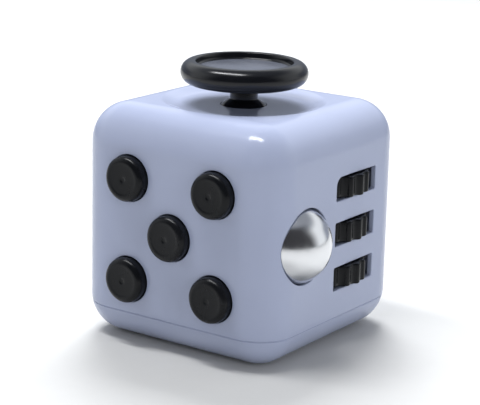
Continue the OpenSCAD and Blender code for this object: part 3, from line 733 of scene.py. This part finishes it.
stem = solid(stem_mesh())
pin_bore = solid(rod(0.45, -7, 7, 32), at(0, 0, PIVOT) @ Matrix.Rotation(math.pi / 2, 4, "X"))
combine(stem, [pin_bore], "DIFFERENCE")
disc = solid(disc_mesh())
combine(disc, [solid(rod(STEM_R, 34, STEM_TOP, 96))], "DIFFERENCE")
piece(disc, "thumb_disc", "joystick", ["joystick_cap"], thumb_black, 40)
piece(stem, "thumb_stem", "joystick", ["joystick_stem"], black_gloss, 40)

# ---------------------------------------------------------------- rocker
ROCKER_TILT = math.radians(10)
ROCKER_PIVOT = -3.3


def rocker_frame():
    return on_face(BACK) @ at(0, 0, ROCKER_PIVOT) @ Matrix.Rotation(ROCKER_TILT, 4, "X")


def rocker_mesh():
    """Long side outline with two raised ends and a dip between them, drawn out across the rocker."""
    reach, crest, middle, under, half = 5.5, 4.2, 3.4, 1.0, 3.2
    crest_at, corner = 0.93, 0.35
    top = []
    for k in range(1, 24):
        share = crest_at * (1 - k / 12)
        rise = (1 - math.cos(math.pi * abs(share) / crest_at)) / 2
        top.append((reach * share, middle + (crest - middle) * rise))
    right = arc(reach - corner, crest - corner, corner, 0, 80, 4)
    left = [(-x, y) for x, y in reversed(right)]
    outline = [(-reach, under), (reach, under), *right, *top, *left]
    return stack([(outline, -half), (outline, half)])


rocker = bevelled(solid(rocker_mesh()), 0.22, 3, 50)
upright = Matrix.Rotation(math.pi / 2, 4, "Z") @ Matrix.Rotation(math.pi / 2, 4, "X")
rocker.data.transform(rocker_frame() @ upright)
across = Matrix.Rotation(math.pi / 2, 4, "Y")
hub, neck = rod(2.0, -3.0, 3.0, 96), rod(1.9, -3.6, 0.5, 96)
combine(rocker, [solid(hub, rocker_frame() @ across), solid(neck, rocker_frame())], "UNION")
pin_hole, plunger_hole = rod(0.81, -5, 5), rod(1.2, -4.6, -1.1)
combine(rocker, [solid(pin_hole, rocker_frame() @ across), solid(plunger_hole, rocker_frame())], "DIFFERENCE")
piece(rocker, "rocker_switch", "rocker", ["rocker"], black_gloss, 32)

# ---------------------------------------------------------------- dial
DIAL_R, DIAL_BACK, DIAL_END = 7.5, -0.85, -3.6
CLICKS = 12
NUB_OUT = 4.4  # the nub's distance from the dial's axis
DIAL = [  # half section, from the end of the shaft round the click track to the middle of the face
    (0.0, DIAL_END), (2.4, DIAL_END), (2.5, DIAL_END + 0.1), (2.5, DIAL_BACK), (4.85, DIAL_BACK),
    *arc(5.6, -1.05, 1.1, 165, 15, 14), (DIAL_R - 0.2, DIAL_BACK), (DIAL_R, DIAL_BACK + 0.2),
    *arc(DIAL_R - 0.6, 0.6, 0.6, 0, 90), (6.7, 1.2), (6.55, 1.17), (6.4, 1.1), (6.2, 1.07), (3.0, 1.07),
    (0.0, 1.07),
]
NUB = [
    (0.0, 0.0), (2.15, 0.9), (2.15, 1.0), *arc(2.15, 1.42, 0.35, -90, -180, 5), (1.8, 1.8),
    *arc(1.2, 2.4, 0.6, 0, 80, 7), (0.8, 2.99), (0.4, 2.96), (0.0, 2.95),
]
dial = solid(lathe(DIAL, 144))
combine(dial, [solid(lathe(NUB, 72), at(0, NUB_OUT))], "UNION")
cuts = [solid(rod(0.8, DIAL_END - 0.2, DIAL_END + 3, 32))]
for k in range(CLICKS):
    turn = Matrix.Rotation(2 * math.pi * k / CLICKS, 4, "Z")
    cuts.append(solid(rod(1.25, DIAL_BACK - 0.5, 0.2, 32), turn @ at(0, CLICK[0])))
combine(dial, cuts, "DIFFERENCE")
dial.data.transform(on_face(LEFT))
piece(dial, "finger_dial", "dial", ["dial"], black_gloss, 32)

# ---------------------------------------------------------------- parts that keep their CAD shape
KEPT = [
    (grey_plastic, [
        "button_carrier", "wheel_bracket", "ball_seat", "ball_retainer", "gimbal_ring", "joystick_base",
        "rocker_bracket",
    ]),
    (plain_steel, [
        "wheel_axle", "joystick_pin", "rocker_pin", "rocker_plunger", "dial_washer", "dial_screw",
        "assembly_screws", "dial_click_ball",
    ]),
    (spring_steel, [
        "snap_dome_upper_left", "snap_dome_centre", "snap_dome_lower_right", "ball_spring",
        "joystick_spring", "rocker_spring", "dial_click_spring",
    ]),
    (silicone, ["silicone_pad_upper_right", "silicone_pad_lower_left"]),
]
for material, names in KEPT:
    for name in names:
        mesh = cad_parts[name].data
        mesh.materials.clear()
        mesh.materials.append(material)

# ---------------------------------------------------------------- studio
floor_finish = finish(
    "floor_paint", (0.56, 0.557, 0.545), (0.545, 0.542, 0.53), (0.6, 0.7), [(900, EVEN, 0.00003, 0.2)],
)
FLOOR_R, FLOOR_T = 1200, 3
floor = solid(rod(FLOOR_R, -FLOOR_T, 0, 128))
floor.name = "floor"
floor.data.transform(Matrix.Scale(MM, 4))
floor.data.materials.append(floor_finish)


def area_light(name, place, target, size, power, colour=(1, 1, 1), mirrored=True):
    """Soft box whose long side runs along X; it can be kept out of mirrored reflections."""
    data = bpy.data.lights.new(name, "AREA")
    data.shape = "RECTANGLE"
    data.size, data.size_y = size
    data.energy = power
    data.color = colour
    obj = bpy.data.objects.new(name, data)
    bpy.context.scene.collection.objects.link(obj)
    out = (Vector(place) - Vector(target)).normalized()
    along = (Vector((1, 0, 0)) - out * out.x).normalized()
    turn = Matrix((along, out.cross(along), out)).transposed().to_4x4()
    obj.matrix_world = Matrix.Translation(Vector(place) * MM) @ turn
    obj.visible_glossy = mirrored


CAMERA_SIDE = (0.572, -0.82, 0.0)
DARK_SIDE = (0.0, 0.6)  # from the sky's brightness to the shade's, along the camera's side
DARK_FROM = (-0.02, 0.0)  # heights between which the shade begins
DARK_TO = (0.93, 0.8)  # heights between which it ends
LOW_SIDE = (-0.2, -0.6)  # the same, for the band low down behind the cube
LOW_BAND = (0.42, 0.22)
HIGH = (0.55, 0.8)  # heights between which the sky dims towards the ceiling
SKY = (0.94, 0.97, 1.0)
DUSK = (0.3, 0.33, 0.4)
CEILING = (0.3, 0.32, 0.36)
SHADE = (0.05, 0.05, 0.055)


def world_light():
    """White surroundings behind the cube, dimmer low down and overhead, and shade on the camera's side."""
    world = bpy.data.worlds.new("studio")
    bpy.context.scene.world = world
    world.use_nodes = True
    tree = world.node_tree
    background = tree.nodes["Background"]
    coords = node(tree, "ShaderNodeTexCoord")
    side = node(tree, "ShaderNodeVectorMath", operation="DOT_PRODUCT")
    side.inputs[1].default_value = CAMERA_SIDE
    tree.links.new(coords.outputs["Generated"], side.inputs[0])
    split = node(tree, "ShaderNodeSeparateXYZ")
    tree.links.new(coords.outputs["Generated"], split.inputs["Vector"])
    across, height = side.outputs["Value"], split.outputs["Z"]

    def step(source, start, end):
        made = node(tree, "ShaderNodeMapRange", interpolation_type="SMOOTHSTEP")
        made.inputs["From Min"].default_value = start
        made.inputs["From Max"].default_value = end
        tree.links.new(source, made.inputs["Value"])
        return made.outputs["Result"]

    dark = product(tree, step(across, *DARK_SIDE), step(height, *DARK_FROM))
    dark = product(tree, dark, step(height, *DARK_TO))
    low = product(tree, step(across, *LOW_SIDE), step(height, *LOW_BAND))
    high = blended(tree, step(height, *HIGH), SKY, CEILING)
    sky = blended(tree, low, high, DUSK)
    tree.links.new(blended(tree, dark, sky, SHADE), background.inputs["Color"])
    background.inputs["Strength"].default_value = 1.0


world_light()


def around(azimuth, elevation, distance):
    """Place at a distance from the origin; azimuth 0 is in front of the buttons, 90 of the wheels."""
    a, e = math.radians(azimuth), math.radians(elevation)
    return distance * Vector((math.sin(a) * math.cos(e), -math.cos(a) * math.cos(e), math.sin(e)))


area_light("back_key", around(215, 55, 500), (0, 0, 30), (0.22, 0.22), 3.2, (0.95, 0.97, 1.0), False)
area_light("overhead_strip", around(-44, 75, 450), (9, -11, 33), (0.27, 0.06), 1.4, (0.97, 0.98, 1.0))
area_light("front_fill", around(20, 25, 600), (0, 0, 16), (0.5, 0.4), 0.62, (0.95, 0.97, 1.0), False)
area_light("right_fill", around(75, 15, 600), (14, 0, 16), (0.4, 0.3), 1.25, (0.95, 0.97, 1.0), False)

# ---------------------------------------------------------------- camera
AZIMUTH, ELEVATION = 34.9, 14.8
ROLL = math.radians(1.4)
DISTANCE = 246.0
SIDE_SHIFT, RISE = -0.18, 1.61  # the aim, beside and above the cube's middle
back_way = around(AZIMUTH, ELEVATION, 1)
sideways = Vector((math.cos(math.radians(AZIMUTH)), math.sin(math.radians(AZIMUTH)), 0))
target = sideways * SIDE_SHIFT + Vector((0, 0, HALF + RISE))
camera_data = bpy.data.cameras.new("camera")
camera_data.sensor_width = 36.0
camera_data.lens = 130.5
camera_data.clip_start, camera_data.clip_end = 0.01, 10.0
camera = bpy.data.objects.new("camera", camera_data)
bpy.context.scene.collection.objects.link(camera)
upward = back_way.cross(sideways)
rolled = sideways * math.cos(ROLL) + upward * math.sin(ROLL)
raised = upward * math.cos(ROLL) - sideways * math.sin(ROLL)
place = (target + back_way * DISTANCE) * MM
camera.matrix_world = Matrix.Translation(place) @ Matrix((rolled, raised, back_way)).transposed().to_4x4()
bpy.context.scene.camera = camera
bpy.context.scene.view_settings.view_transform = "Standard"
